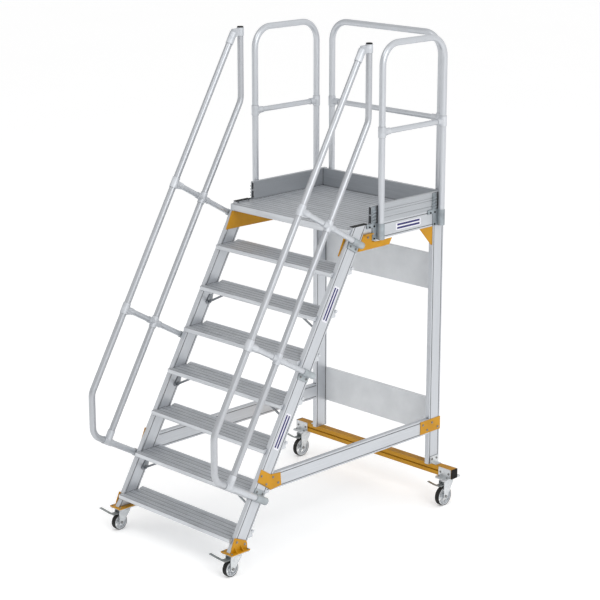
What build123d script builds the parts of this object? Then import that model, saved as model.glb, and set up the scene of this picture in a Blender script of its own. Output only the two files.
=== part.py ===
from build123d import *
from collections import namedtuple
from math import cos, radians, sin
import os

# Rolling warehouse ladder: a 60 degree stair on four swivelling, braked casters,
# with a railed work platform at the top. Millimetres, +Z up, floor at Z = 0,
# X across the stair (right hand of a climber is +X), Y in the climbing direction.

# ---------------------------------------------------------------- driving sizes
datum_y = -832.0          # where the stair's slope line meets the floor
slope_deg = 60.0
step_rise = 240.0
step_run = step_rise / (sin(radians(slope_deg)) / cos(radians(slope_deg)))
step_count = 7
first_step_z = 230.0
first_nose_y = datum_y - 8.0
tread_depth = 200.0
tread_half_width = 501.0
deck_z = first_step_z + step_count * step_rise
deck_front_y = first_nose_y + step_count * step_run
deck_rear_y = datum_y + 1770.0

# slotted aluminium rail used for stringers, side rails, legs and braces
rail_depth = 100.0
rail_width = 30.0
rail_wall = 2.5
groove_inset = 12.0
groove_width = 5.0
groove_depth = 4.0
rail_inner_x = 490.0
rail_outer_x = rail_inner_x + rail_width
rail_mid_x = rail_inner_x + rail_width / 2
stringer_front = 94.0     # distance of the stringer's front face out from the slope line
stringer_back = stringer_front - rail_depth
stringer_foot_z = 150.0
stringer_top_z = 1917.0

# tubes
guard_tube = 40.0
knee_tube = 38.0
mid_tube = 34.0
tube_wall = 2.0
fit_gap = 0.2             # clearance between bolted or clamped pieces
guard_x = 543.0
guard_front_y = datum_y + 1211.0
guard_rear_y = datum_y + 1760.0
rear_guard_x = 463.0
rear_guard_y = datum_y + 1823.0
guard_top_z = 2984.0
guard_mid_z = 2465.0
guard_corner = 130.0
handrail_x = 545.5
handrail_out = 590.0      # outer handrail axis, out from the slope line
knee_out = 329.0          # knee rail axis, out from the slope line
foot_along = 473.0        # the three rail clamps, along the slope line
low_stub_along = 1258.0
high_stub_along = 2085.0
knee_post_y = datum_y + 1090.0
rail_top_z = 2998.0

# platform
side_rail_z = deck_z - rail_depth / 2 + 1.0
side_rail_end_y = datum_y + 1812.0
toe_board_height = 111.0
toe_board_thick = 25.0

# rear frame
leg_front_y = datum_y + 1710.0
leg_rear_y = leg_front_y + rail_depth
beam_y = (leg_front_y + leg_rear_y) / 2
beam_depth = 55.0
beam_height = 60.0
beam_top_z = 242.0
beam_half = 694.0
cap_thick = 6.0
brace_z = 502.0
panel_y = datum_y + 1803.0

# sheet parts and fasteners
plate_thick = 5.0
gusset_thick = 3.0
bolt_radius = 3.0
bolt_head = 5.5
bolt_shank = 16.0
slot_bolt_radius = 2.3    # bolt whose shank runs into a rail's groove

# casters
front_caster_xy = (505.0, datum_y + 36.0)
rear_caster_xy = (643.0, beam_y)
front_wheel_radius = 50.0
rear_wheel_radius = 62.5
front_caster_top = 144.0
rear_caster_top = beam_top_z - beam_height
caster_trail = 42.0
caster_plate_size = (100.0, 140.0, 5.0)
race_radius = 34.0
race_height = 11.0
tyre_width = 32.0
fork_gap = 42.0           # clear width between the fork's cheeks
fork_sheet = 3.5
axle_radius = 6.0
pedal_pin_radius = 3.5
pedal_pin_ahead = 4.0     # pedal pin, towards the swivel from the axle
front_pedal_z = 115.0
rear_pedal_z = 145.0
front_pedal_reach = 120.0
rear_pedal_reach = 84.0
running_gap = 0.08

along_dir = (0, cos(radians(slope_deg)), sin(radians(slope_deg)))
out_dir = (0, -sin(radians(slope_deg)), cos(radians(slope_deg)))


def on_slope(x, along, out):
    """Point at a distance along the slope line and out from it, towards the climber."""
    return (
        x,
        datum_y + along * along_dir[1] + out * out_dir[1],
        along * along_dir[2] + out * out_dir[2],
    )


def slope_plane(x, along, out):
    """Cross-section plane of anything that runs up the slope: local x points out, y to +X."""
    return Plane(origin=on_slope(x, along, out), x_dir=out_dir, z_dir=along_dir)


def stub_plane(x, along, out):
    """Cross-section plane of anything square to the slope, facing out from it."""
    return Plane(origin=on_slope(x, along, out), x_dir=(1, 0, 0), z_dir=out_dir)


def stringer_face_y(z, out):
    """Y of a stringer face at height z."""
    along = (z - out * out_dir[2]) / along_dir[2]
    return datum_y + along * along_dir[1] + out * out_dir[1]


# ---------------------------------------------------------------- shared shapes
def rail_section():
    """Hollow rail with two grooves in each broad face; depth runs along local x."""
    groove_x = rail_depth / 2 - groove_inset
    groove_y = rail_width / 2 - groove_depth / 2
    edge_room = groove_inset - groove_width / 2 - 2 * rail_wall
    Rectangle(rail_depth, rail_width)
    Rectangle(rail_depth - 2 * (groove_inset + 2 * rail_wall), rail_width - 2 * rail_wall,
              mode=Mode.SUBTRACT)
    with GridLocations(rail_depth - 2 * rail_wall - edge_room, 0, 2, 1):
        Rectangle(edge_room, rail_width - 2 * rail_wall, mode=Mode.SUBTRACT)
    with Locations((groove_x, groove_y), (groove_x, -groove_y),
                   (-groove_x, groove_y), (-groove_x, -groove_y)):
        Rectangle(groove_width, groove_depth, mode=Mode.SUBTRACT)


def ring(outer, inner):
    Circle(outer)
    Circle(inner, mode=Mode.SUBTRACT)


def bent_tube(points, radii, diameter):
    """Round tube whose axis runs through the points, with an arc at each corner."""
    with BuildPart() as bent:
        with BuildLine() as axis:
            FilletPolyline(*points, radius=radii)
        with BuildSketch(Plane(origin=axis.line @ 0, z_dir=axis.line % 0)):
            ring(diameter / 2, diameter / 2 - tube_wall)
        sweep(path=axis.line)
    return bent.part


def straight_tube(plane, length, diameter):
    with BuildSketch(plane) as section:
        ring(diameter / 2, diameter / 2 - tube_wall)
    extrude(section.sketch, amount=length)


def sleeve(plane, length, bore):
    """Adds a thick cast sleeve; the bore is cut afterwards by clear_bore."""
    with BuildSketch(plane) as section:
        Circle(bore / 2 + 3.5)
    extrude(section.sketch, amount=length)


def clear_bore(plane, length, bore):
    with BuildSketch(plane) as section:
        Circle(bore / 2 + fit_gap)
    extrude(section.sketch, amount=length, mode=Mode.SUBTRACT)


def side_plate(outline, x_face, thick=plate_thick):
    """Flat plate on the plane X = x_face; the outline's points are (y from the datum, z)."""
    with BuildSketch(Plane.YZ.offset(x_face)) as section:
        with BuildLine():
            Polyline(*[(datum_y + y, z) for y, z in outline], close=True)
        make_face()
    extrude(section.sketch, amount=thick)


def drill(planes, depth=bolt_shank + 4, radius=bolt_radius):
    """Clearance holes for bolts whose heads sit on the given planes."""
    for plane in planes:
        with BuildSketch(plane.offset(1)) as hole:
            Circle(radius + fit_gap)
        extrude(hole.sketch, amount=-depth, mode=Mode.SUBTRACT)


def mirrored(piece):
    """The same piece on the other side of the stair."""
    with BuildPart() as twin:
        mirror(piece, about=Plane.YZ)
    return twin.part


def both_sides(piece):
    with BuildPart() as pair:
        add(piece)
        mirror(piece, about=Plane.YZ)
    return pair.part


def side_bolt(x_face, y, z):
    """Plane of a bolt head on a face that looks towards +X."""
    return Plane(origin=(x_face, datum_y + y, z), x_dir=(0, 1, 0), z_dir=(1, 0, 0))


def back_bolt(x, y_face, z):
    return Plane(origin=(x, y_face, z), x_dir=(1, 0, 0), z_dir=(0, 1, 0))


def front_bolt(x, y_face, z):
    return Plane(origin=(x, y_face, z), x_dir=(1, 0, 0), z_dir=(0, -1, 0))


def top_bolt(x, y, z_face):
    return Plane(origin=(x, y, z_face), x_dir=(1, 0, 0), z_dir=(0, 0, 1))


# ---------------------------------------------------------------- bolt places (right side)
outer_face = rail_outer_x + fit_gap
plate_face = outer_face + plate_thick
gusset_face = outer_face + gusset_thick
stringer_gusset_bolts = [side_bolt(gusset_face, 232, 560), side_bolt(gusset_face, 270, 500)]
brace_gusset_bolts = [
    side_bolt(gusset_face, 325, 530), side_bolt(gusset_face, 367, 485),
    side_bolt(gusset_face, 1650, 522), side_bolt(gusset_face, 1690, 482),
]
leg_gusset_bolts = [side_bolt(gusset_face, 1735, 522), side_bolt(gusset_face, 1790, 482)]
rail_gusset_bolts = [side_bolt(gusset_face, 1120, 1838)]
gusset_bolts = stringer_gusset_bolts + brace_gusset_bolts + leg_gusset_bolts + rail_gusset_bolts
bracket_bolts = [side_bolt(plate_face, 30, 206), side_bolt(plate_face, 92, 178)]
foot_bolts = [side_bolt(plate_face, 1742, 272), side_bolt(plate_face, 1784, 272)]
# each clamp: place along the slope, side of the stub its ear is on, height of its pad
# above the stringer (the highest one sits on the platform gusset)
clamps = [
    (foot_along, 1, 0.0),
    (low_stub_along, -1, 0.0),
    (high_stub_along, -1, gusset_thick + fit_gap),
]
clamp_bolts = []
for clamp_along, ear_side, pad_lift in clamps:
    for bolt_out in (18.0, 70.0):
        bolt_at = on_slope(plate_face + pad_lift, clamp_along + ear_side * 34, bolt_out)
        clamp_bolts.append(Plane(origin=bolt_at, x_dir=out_dir, z_dir=(1, 0, 0)))
caster_bolts = [
    top_bolt(front_caster_xy[0] - 38, front_caster_xy[1] - 62, stringer_foot_z),
    top_bolt(front_caster_xy[0] + 38, front_caster_xy[1] + 62, stringer_foot_z),
    top_bolt(front_caster_xy[0] - 38, front_caster_xy[1] + 62, stringer_foot_z),
    top_bolt(front_caster_xy[0] + 38, front_caster_xy[1] - 62, stringer_foot_z),
]
clamp_face = beam_depth / 2 + fit_gap + plate_thick
beam_mid_z = beam_top_z - beam_height / 2
flange_y = clamp_face + 16
rear_plate_bolts = []
beam_bolts = []
for bolt_x in (-34, 34):
    for bolt_side in (-1, 1):
        rear_plate_bolts.append(top_bolt(rear_caster_xy[0] + bolt_x, beam_y + bolt_side * flange_y,
                                         rear_caster_top + fit_gap + plate_thick))
    beam_bolts.append(front_bolt(rear_caster_xy[0] + bolt_x, beam_y - clamp_face, beam_mid_z))
    beam_bolts.append(back_bolt(rear_caster_xy[0] + bolt_x, beam_y + clamp_face, beam_mid_z))

# ---------------------------------------------------------------- stringers
stringer_length = stringer_top_z / along_dir[2] + 200
with BuildPart() as stringer_right:
    with BuildSketch(slope_plane(rail_mid_x, 0, (stringer_front + stringer_back) / 2)):
        rail_section()
    extrude(amount=stringer_length)
    split(bisect_by=Plane.XY.offset(stringer_foot_z), keep=Keep.TOP)
    split(bisect_by=Plane.XY.offset(stringer_top_z), keep=Keep.BOTTOM)
    drill(stringer_gusset_bolts + bracket_bolts + clamp_bolts)

# ---------------------------------------------------------------- steps
nose_height = 28.0
nose_length = 34.0
curl_radius = 10.0
end_wall = 3.0
tread_sheet = 4.0
inner_half = rail_inner_x - fit_gap
ridge_height = 1.8
ridge_width = 6.0
ridge_pitch = 10.0
ridge_band = 38.0         # three ridges and a wide groove


def ridged_plate(length, sheet):
    """Top sheet of a tread from u = 0 to length, with bands of three anti-slip ridges along X."""
    band_count = round(length / ridge_band)
    with Locations((length / 2, -ridge_height - sheet / 2)):
        Rectangle(length, sheet)
    for band in range(band_count):
        with Locations(((band + 0.5) * length / band_count, -ridge_height / 2 - 0.1)):
            with GridLocations(ridge_pitch, 0, 3, 1):
                Rectangle(ridge_width, ridge_height + 0.2)


def stringer_slots():
    """Cuts away what would run through a stringer."""
    with BuildSketch(slope_plane(0, 0, (stringer_front + stringer_back) / 2)) as slots:
        with Locations((0, rail_mid_x), (0, -rail_mid_x)):
            Rectangle(rail_depth + 2 * fit_gap, rail_width + 2 * fit_gap)
    extrude(slots.sketch, amount=stringer_length, mode=Mode.SUBTRACT)


def build_step(nose_y, top_z, rear_half):
    """Tread whose hollow nose runs in front of the stringers and its curl behind them."""
    profile_plane = Plane(origin=(0, nose_y, top_z), x_dir=(0, 1, 0), z_dir=(1, 0, 0))
    nose_middle = (nose_length / 2, -ridge_height - nose_height / 2)
    curl_middle = (tread_depth - curl_radius, 3 - curl_radius)
    rib_height = 20.0
    end_plate_span = (82.0, 194.0)    # from the nose, towards the rear
    end_plate_height = 42.0
    with BuildPart() as step:
        with BuildSketch(profile_plane) as nose:
            with Locations(nose_middle):
                RectangleRounded(nose_length, nose_height, 6)
        extrude(nose.sketch, amount=tread_half_width, both=True)
        with BuildSketch(profile_plane) as rear:
            with Locations(curl_middle):
                Circle(curl_radius)
            with Locations((tread_depth - 2 * curl_radius, -ridge_height - tread_sheet / 2)):
                Rectangle(2 * curl_radius, tread_sheet)
        extrude(rear.sketch, amount=rear_half, both=True)
        for plate_x in (-inner_half, inner_half - end_wall):
            # end plate of the tread, flat against a stringer's inner face
            with BuildSketch(Plane.YZ.offset(plate_x)) as end_plate:
                with Locations((nose_y + (end_plate_span[0] + end_plate_span[1]) / 2,
                                top_z - ridge_height - end_plate_height / 2 - 1)):
                    Rectangle(end_plate_span[1] - end_plate_span[0], end_plate_height)
            extrude(end_plate.sketch, amount=end_wall)
        stringer_slots()
        with BuildSketch(profile_plane) as tread:
            ridged_plate(tread_depth - curl_radius, tread_sheet)
            with Locations((72, -ridge_height - rib_height / 2), (128, -ridge_height - rib_height / 2)):
                Rectangle(3, rib_height)
        extrude(tread.sketch, amount=inner_half, both=True)
        with BuildSketch(profile_plane) as hollows:
            with Locations(nose_middle):
                RectangleRounded(nose_length - 6, nose_height - 7, 4)
            with Locations(curl_middle):
                Circle(curl_radius - 4.5)
        extrude(hollows.sketch, amount=inner_half - end_wall, both=True, mode=Mode.SUBTRACT)
    return step.part


steps = {}
for number in range(step_count):
    nose_y = first_nose_y + number * step_run
    top_z = first_step_z + number * step_rise
    meets_brace = abs(top_z - brace_z) < rail_depth
    rear_half = inner_half if meets_brace else tread_half_width
    steps[f"step_{number + 1}"] = build_step(nose_y, top_z, rear_half)

# ---------------------------------------------------------------- deck
deck_nose_height = 43.0
deck_nose_half = 510.0
plank_height = 38.0
nosing_depth = 228.0
plank_gap = 2.0
plank_count = 3
plank_depth = (deck_rear_y - deck_front_y - nosing_depth) / plank_count - plank_gap
with BuildPart() as deck_planks:
    with BuildSketch(Plane(origin=(0, deck_front_y, deck_z), x_dir=(0, 1, 0), z_dir=(1, 0, 0))):
        with Locations((nose_length / 2, -ridge_height - deck_nose_height / 2)):
            RectangleRounded(nose_length, deck_nose_height, 6)
    extrude(amount=deck_nose_half, both=True)
    with BuildSketch(Plane(origin=(0, deck_front_y, deck_z), x_dir=(0, 1, 0), z_dir=(1, 0, 0))):
        with Locations((nose_length / 2, -ridge_height - deck_nose_height / 2)):
            RectangleRounded(nose_length - 6, deck_nose_height - 7, 4)
    extrude(amount=inner_half - end_wall, both=True, mode=Mode.SUBTRACT)
    stringer_slots()
    with BuildSketch(Plane(origin=(0, deck_front_y, deck_z), x_dir=(0, 1, 0), z_dir=(1, 0, 0))):
        ridged_plate(nosing_depth, 3.0)
        for web_u in (nose_length + 1.5, nosing_depth / 2, nosing_depth - 1.5):
            with Locations((web_u, -ridge_height - plank_height / 2)):
                Rectangle(3, plank_height)
        with Locations(((nosing_depth + nose_length) / 2, -ridge_height - plank_height + 1.5)):
            Rectangle(nosing_depth - nose_length, 3)
    extrude(amount=inner_half, both=True)
    for plank in range(plank_count):
        plank_y = deck_front_y + nosing_depth + plank_gap + plank * (plank_depth + plank_gap)
        with BuildSketch(Plane(origin=(0, plank_y, deck_z), x_dir=(0, 1, 0), z_dir=(1, 0, 0))):
            ridged_plate(plank_depth, 3.0)
            for web_u in (1.5, plank_depth / 2, plank_depth - 1.5):
                with Locations((web_u, -ridge_height - plank_height / 2)):
                    Rectangle(3, plank_height)
            with Locations((plank_depth / 2, -ridge_height - plank_height + 1.5)):
                Rectangle(plank_depth, 3)
        extrude(amount=inner_half, both=True)

# ---------------------------------------------------------------- side rails and rear rail
with BuildPart() as side_rail_right:
    with BuildSketch(Plane(origin=(rail_mid_x, side_rail_end_y, side_rail_z),
                           x_dir=(0, 0, 1), z_dir=(0, -1, 0))):
        rail_section()
    extrude(amount=900)
    split(bisect_by=Plane(origin=on_slope(0, 0, stringer_back - fit_gap), z_dir=out_dir),
          keep=Keep.BOTTOM)
    drill(rail_gusset_bolts)

rear_rail_half = 484.5
rear_rail_y = datum_y + 1785.0
with BuildPart() as rear_cross_rail:
    with BuildSketch(Plane(origin=(-rear_rail_half, rear_rail_y, side_rail_z),
                           x_dir=(0, 0, 1), z_dir=(1, 0, 0))):
        rail_section()
    extrude(amount=2 * rear_rail_half)

# ledges under the planks, and under every second step a bracket with a diagonal strut
ledge_z = deck_z - ridge_height - plank_height - fit_gap
ledge_y = (guard_front_y + rear_rail_y) / 2 + 40
bracket_x = inner_half - plate_thick
strut_width = 14.0
strut_run = 200.0         # how far a strut reaches in from the stringer
strut_bolts = []
strut_bolt_depth = 3.2
with BuildPart() as support_angle:
    with Locations((inner_half - 2, ledge_y, ledge_z - 18)):
        Box(4, 440, 36)
    with Locations((inner_half - 20, ledge_y, ledge_z - 2)):
        Box(40, 440, 4)
    for number in (1, 3, 5):
        step_y = first_nose_y + number * step_run
        step_under_z = first_step_z + number * step_rise - ridge_height - nose_height
        strut_low_z = step_under_z - 92
        strut_top_z = step_under_z + nose_height - tread_sheet - fit_gap
        with BuildSketch(Plane.YZ.offset(bracket_x)) as bracket_plate:
            with BuildLine():
                Polyline((step_y + 36, step_under_z - 80), (step_y + 71, step_under_z - 37),
                         (step_y + 96, step_under_z - 47), (step_y + 92, step_under_z - 72),
                         (step_y + 78, step_under_z - 96), (step_y + 46, step_under_z - 94), close=True)
            make_face()
        extrude(bracket_plate.sketch, amount=plate_thick)
        with BuildSketch(Plane.XZ.offset(-(step_y + 56))) as strut:
            with BuildLine():
                Polyline((bracket_x + 2, strut_low_z), (bracket_x + 2, strut_low_z + strut_width),
                         (bracket_x - strut_run, strut_top_z),
                         (bracket_x - strut_run - 2 * strut_width, strut_top_z), close=True)
            make_face()
        extrude(strut.sketch, amount=-5)
        strut_bolts.append(Plane(origin=(bracket_x, step_y + 72, step_under_z - 76),
                                 x_dir=(0, 1, 0), z_dir=(-1, 0, 0)))
    drill(strut_bolts, strut_bolt_depth + 1.3)
support_angles = both_sides(support_angle.part)

# ---------------------------------------------------------------- toe boards
board_bottom_z = side_rail_z + rail_depth / 2 + fit_gap
board_top_z = board_bottom_z + toe_board_height
board_mid_z = (board_bottom_z + board_top_z) / 2
side_board_start = datum_y + 1150.0
board_grooves = (33.0, 47.0, 84.0)    # below the board's top edge


def board_section():
    """Hollow kick board, height along local x, outer face towards +y, with ribs outside."""
    Rectangle(toe_board_height, toe_board_thick)
    with Locations((26, 0), (-26, 0)):
        Rectangle(46, toe_board_thick - 6, mode=Mode.SUBTRACT)
    for groove_drop in board_grooves:
        with Locations((toe_board_height / 2 - groove_drop, toe_board_thick / 2)):
            Rectangle(4, 3, mode=Mode.SUBTRACT)


with BuildPart() as toe_board_right:
    with BuildSketch(Plane(origin=(rail_outer_x - toe_board_thick / 2, side_board_start, board_mid_z),
                           x_dir=(0, 0, 1), z_dir=(0, 1, 0))):
        board_section()
    extrude(amount=side_rail_end_y - side_board_start)
rear_board_half = rail_outer_x - toe_board_thick - fit_gap
with BuildPart() as toe_board_rear:
    with BuildSketch(Plane(origin=(rear_board_half, rear_rail_y + 15 - toe_board_thick / 2, board_mid_z),
                           x_dir=(0, 0, 1), z_dir=(-1, 0, 0))):
        board_section()
    extrude(amount=2 * rear_board_half)

# ---------------------------------------------------------------- guards
post_foot_z = side_rail_z - 44.0
guard_right = bent_tube(
    [(guard_x, guard_front_y, post_foot_z), (guard_x, guard_front_y, guard_top_z),
     (guard_x, guard_rear_y, guard_top_z), (guard_x, guard_rear_y, post_foot_z)],
    guard_corner, guard_tube)
guard_rear = bent_tube(
    [(-rear_guard_x, rear_guard_y, post_foot_z), (-rear_guard_x, rear_guard_y, guard_top_z),
     (rear_guard_x, rear_guard_y, guard_top_z), (rear_guard_x, rear_guard_y, post_foot_z)],
    guard_corner, guard_tube)

mid_rail_start = guard_tube / 2 + 6
guard_posts = [
    (guard_x, guard_front_y, (0, 1, 0)), (guard_x, guard_rear_y, (0, -1, 0)),
    (rear_guard_x, rear_guard_y, (-1, 0, 0)),
]
with BuildPart() as side_mid_rail:
    straight_tube(Plane(origin=(guard_x, guard_front_y + mid_rail_start, guard_mid_z), z_dir=(0, 1, 0)),
                  guard_rear_y - guard_front_y - 2 * mid_rail_start, mid_tube)
with BuildPart() as guard_mid_rails:
    add(side_mid_rail.part)
    mirror(side_mid_rail.part, about=Plane.YZ)
    straight_tube(Plane(origin=(-rear_guard_x + mid_rail_start, rear_guard_y, guard_mid_z),
                        z_dir=(1, 0, 0)),
                  2 * (rear_guard_x - mid_rail_start), mid_tube)

sleeve_half = 32.0
branch_length = 62.0
with BuildPart() as guard_connector:
    for post_x, post_y, branch in guard_posts:
        sleeve(Plane(origin=(post_x, post_y, guard_mid_z - sleeve_half), z_dir=(0, 0, 1)),
               2 * sleeve_half, guard_tube)
        sleeve(Plane(origin=(post_x, post_y, guard_mid_z), z_dir=branch), branch_length, mid_tube)
        if post_y == guard_front_y:
            # the front connector has a web between its sleeve and its branch
            side_plate([(post_y - datum_y + 20, guard_mid_z - 32), (post_y - datum_y + 58, guard_mid_z - 14),
                        (post_y - datum_y + 58, guard_mid_z), (post_y - datum_y + 20, guard_mid_z)],
                       post_x - 5, 10)
        clear_bore(Plane(origin=(post_x, post_y, guard_mid_z - sleeve_half - 1), z_dir=(0, 0, 1)),
                   2 * sleeve_half + 2, guard_tube)
        clear_bore(Plane(origin=(post_x, post_y, guard_mid_z), z_dir=branch).offset(mid_rail_start - 1),
                   branch_length, mid_tube)
guard_connectors = both_sides(guard_connector.part)

socket_radius = guard_tube / 2 + 2.8
socket_height = 98.0
groove_lift = rail_depth / 2 - groove_inset
# holder plate and its bolts: distance from the post's axis along the rail, height from the rail's middle
holder_outline = [(10, 55), (102, 55), (102, 30), (54, 30), (54, -47), (10, -47)]
holder_bolt_places = [(41, groove_lift), (79, groove_lift), (41, -groove_lift)]
clip_reach = (26.0, 61.0)             # board clip, from the post's axis along the rail
clip_ribs = (16.0, 36.0, 56.0, 76.0)  # above the rail's top
holder_bolts = []
with BuildPart() as post_holder:
    for post_x, post_y, branch in guard_posts:
        outward = (1, 0, 0) if branch[0] == 0 else (0, 1, 0)
        # local x points along the rail towards the front, or towards the middle at the rear
        inward = (0, -1, 0) if branch[0] == 0 else (-1, 0, 0)
        wall_gap = guard_x - rail_outer_x - fit_gap
        along_plane = Plane(origin=(post_x, post_y, 0), x_dir=inward, z_dir=(0, 0, 1))
        out_sign = 1 if branch[0] == 0 else -1
        with BuildSketch(along_plane.offset(post_foot_z - 2)) as socket:
            Circle(socket_radius)
            with Locations((0, -out_sign * wall_gap / 2)):
                Rectangle(24, wall_gap)
            Circle(guard_tube / 2 + fit_gap, mode=Mode.SUBTRACT)
        extrude(socket.sketch, amount=socket_height)
        plate_back = (post_x - outward[0] * wall_gap, post_y - outward[1] * wall_gap, side_rail_z)
        face_plane = Plane(origin=plate_back, x_dir=(0, 0, 1), z_dir=outward)
        with BuildSketch(face_plane) as holder_plate:
            with BuildLine():
                Polyline(*[(lift, out_sign * reach) for reach, lift in holder_outline], close=True)
            make_face()
        extrude(holder_plate.sketch, amount=plate_thick)
        clip_middle = (clip_reach[0] + clip_reach[1]) / 2
        clip_length = clip_reach[1] - clip_reach[0]
        with BuildSketch(along_plane.offset(side_rail_z + rail_depth / 2)) as clip:
            with Locations((clip_middle, -out_sign * (wall_gap - 1.5))):
                Rectangle(clip_length, 3)
        extrude(clip.sketch, amount=toe_board_height - 3)
        for rib_lift in clip_ribs:
            with BuildSketch(along_plane.offset(side_rail_z + rail_depth / 2 + rib_lift)) as clip_rib:
                with Locations((clip_middle, -out_sign * (wall_gap - 5))):
                    Rectangle(clip_length, 10)
            extrude(clip_rib.sketch, amount=6)
        for bolt_along, bolt_lift in holder_bolt_places:
            face_out = plate_thick - wall_gap
            holder_bolts.append(Plane(
                origin=(post_x + outward[0] * face_out + inward[0] * bolt_along,
                        post_y + outward[1] * face_out + inward[1] * bolt_along,
                        side_rail_z + bolt_lift),
                x_dir=(0, 0, 1), z_dir=outward))
    drill(holder_bolts, plate_thick + 1.5, slot_bolt_radius)
post_holders = both_sides(post_holder.part)

# ---------------------------------------------------------------- handrails
handrail_bend_along = (handrail_out * -out_dir[1] - 158.0) / along_dir[1]
foot_bend_out = (foot_along * along_dir[1] + 158.0) / -out_dir[1]
handrail_top_along = 3078.0
tee_half = 34.0
foot_end_out = knee_out + 8
handrail_right = bent_tube(
    [on_slope(handrail_x, handrail_top_along, handrail_out),
     on_slope(handrail_x, handrail_bend_along, handrail_out),
     on_slope(handrail_x, foot_along, foot_bend_out),
     on_slope(handrail_x, foot_along, foot_end_out)],
    [90.0, 95.0], guard_tube)
knee_bend_along = (knee_post_y - datum_y - knee_out * out_dir[1]) / along_dir[1]
knee_start_along = foot_along + guard_tube / 2 + 6
knee_rail_right = bent_tube(
    [on_slope(handrail_x, knee_start_along, knee_out),
     on_slope(handrail_x, knee_bend_along, knee_out),
     (handrail_x, knee_post_y, rail_top_z)],
    110.0, knee_tube)

stub_end_out = 20.0
cross_half = 35.0
cross_branch = 52.0
with BuildPart() as stub_set:
    straight_tube(stub_plane(handrail_x, foot_along, stub_end_out),
                  knee_out - 8 - stub_end_out, guard_tube)
    for stub_along in (low_stub_along, high_stub_along):
        straight_tube(stub_plane(handrail_x, stub_along, stub_end_out),
                      knee_out - knee_tube / 2 - 4 - stub_end_out, mid_tube)
        straight_tube(stub_plane(handrail_x, stub_along, knee_out + knee_tube / 2 + 4),
                      handrail_out - knee_out - knee_tube / 2 - guard_tube / 2 - 8, mid_tube)
handrail_stubs = both_sides(stub_set.part)

with BuildPart() as connector_set:
    for stub_along in (low_stub_along, high_stub_along):
        # tee on the outer handrail, with a web on its lower side
        sleeve(slope_plane(handrail_x, stub_along - tee_half, handrail_out), 2 * tee_half, guard_tube)
        tee_branch = stub_plane(handrail_x, stub_along, handrail_out - 66)
        sleeve(tee_branch, 60, mid_tube)
        with BuildSketch(Plane(origin=on_slope(handrail_x - 5, stub_along, handrail_out),
                               x_dir=out_dir, z_dir=(1, 0, 0))) as web:
            with BuildLine():
                Polyline((-22, 0), (-62, 0), (-62, 19), (-22, 33), close=True)
            make_face()
        extrude(web.sketch, amount=10)
        clear_bore(slope_plane(handrail_x, stub_along - tee_half - 1, handrail_out),
                   2 * tee_half + 2, guard_tube)
        clear_bore(tee_branch.offset(-1), 66 - guard_tube / 2 - 2, mid_tube)
        # cross on the knee rail
        sleeve(slope_plane(handrail_x, stub_along - cross_half, knee_out), 2 * cross_half, knee_tube)
        sleeve(stub_plane(handrail_x, stub_along, knee_out - cross_branch), 2 * cross_branch, mid_tube)
        clear_bore(slope_plane(handrail_x, stub_along - cross_half - 1, knee_out),
                   2 * cross_half + 2, knee_tube)
        clear_bore(stub_plane(handrail_x, stub_along, knee_out - cross_branch - 1),
                   cross_branch - knee_tube / 2 - 2, mid_tube)
        clear_bore(stub_plane(handrail_x, stub_along, knee_out + knee_tube / 2 + 3),
                   cross_branch - knee_tube / 2 - 2, mid_tube)
    # foot tee: handrail and foot stub end to end, knee rail square to them
    sleeve(stub_plane(handrail_x, foot_along, knee_out - 34), 72, guard_tube)
    sleeve(slope_plane(handrail_x, foot_along, knee_out), 72, knee_tube)
    clear_bore(stub_plane(handrail_x, foot_along, knee_out - 35), 28, guard_tube)
    clear_bore(stub_plane(handrail_x, foot_along, knee_out + 7), 32, guard_tube)
    clear_bore(slope_plane(handrail_x, knee_start_along - 1, knee_out), 60, knee_tube)
    # top joint: a sleeve on the handrail's end and a ring on the knee rail's post
    sleeve(slope_plane(handrail_x, handrail_top_along - 66, handrail_out), 76, guard_tube)
    sleeve(Plane(origin=(handrail_x, knee_post_y, rail_top_z - 52), z_dir=(0, 0, 1)), 50, knee_tube)
    with BuildSketch(Plane.YZ.offset(handrail_x - 12)) as bridge:
        with BuildLine():
            Polyline((knee_post_y - 16, rail_top_z - 50), (knee_post_y - 16, rail_top_z - 6),
                     (knee_post_y - 62, rail_top_z - 6), (knee_post_y - 86, rail_top_z - 40),
                     (knee_post_y - 62, rail_top_z - 58), close=True)
        make_face()
    extrude(bridge.sketch, amount=24)
    clear_bore(slope_plane(handrail_x, handrail_top_along - 67, handrail_out), 68, guard_tube)
    clear_bore(Plane(origin=(handrail_x, knee_post_y, rail_top_z - 60), z_dir=(0, 0, 1)), 70, knee_tube)
handrail_connectors = both_sides(connector_set.part)

clamp_tail_out = -5.0
clamp_mouth_out = 90.0
with BuildPart() as clamp_set:
    for clamp_along, ear_side, pad_lift in clamps:
        held_tube = guard_tube if clamp_along == foot_along else mid_tube
        sleeve(stub_plane(handrail_x, clamp_along, clamp_tail_out),
               clamp_mouth_out - clamp_tail_out, held_tube)
        pad_x = outer_face + pad_lift
        pad_plane = Plane(origin=on_slope(pad_x, clamp_along, 0), x_dir=out_dir, z_dir=(1, 0, 0))
        with BuildSketch(pad_plane) as pad:
            with Locations(((clamp_tail_out + clamp_mouth_out) / 2, 0)):
                Rectangle(clamp_mouth_out - clamp_tail_out, held_tube)
        extrude(pad.sketch, amount=handrail_x - pad_x)
        with BuildSketch(pad_plane) as ear:
            with Locations((44, -ear_side * 34)):
                Rectangle(88, 34)
        extrude(ear.sketch, amount=plate_thick)
        if pad_lift > 0:
            # packing between the ear and the stringer, beside the gusset's tab
            with BuildSketch(pad_plane) as packing:
                with Locations((44, -ear_side * 36)):
                    Rectangle(88, 30)
            extrude(packing.sketch, amount=-pad_lift)
        clear_bore(stub_plane(handrail_x, clamp_along, stub_end_out - 1),
                   clamp_mouth_out - stub_end_out + 2, held_tube)
    drill(clamp_bolts, 11)
rail_clamps = both_sides(clamp_set.part)

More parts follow.
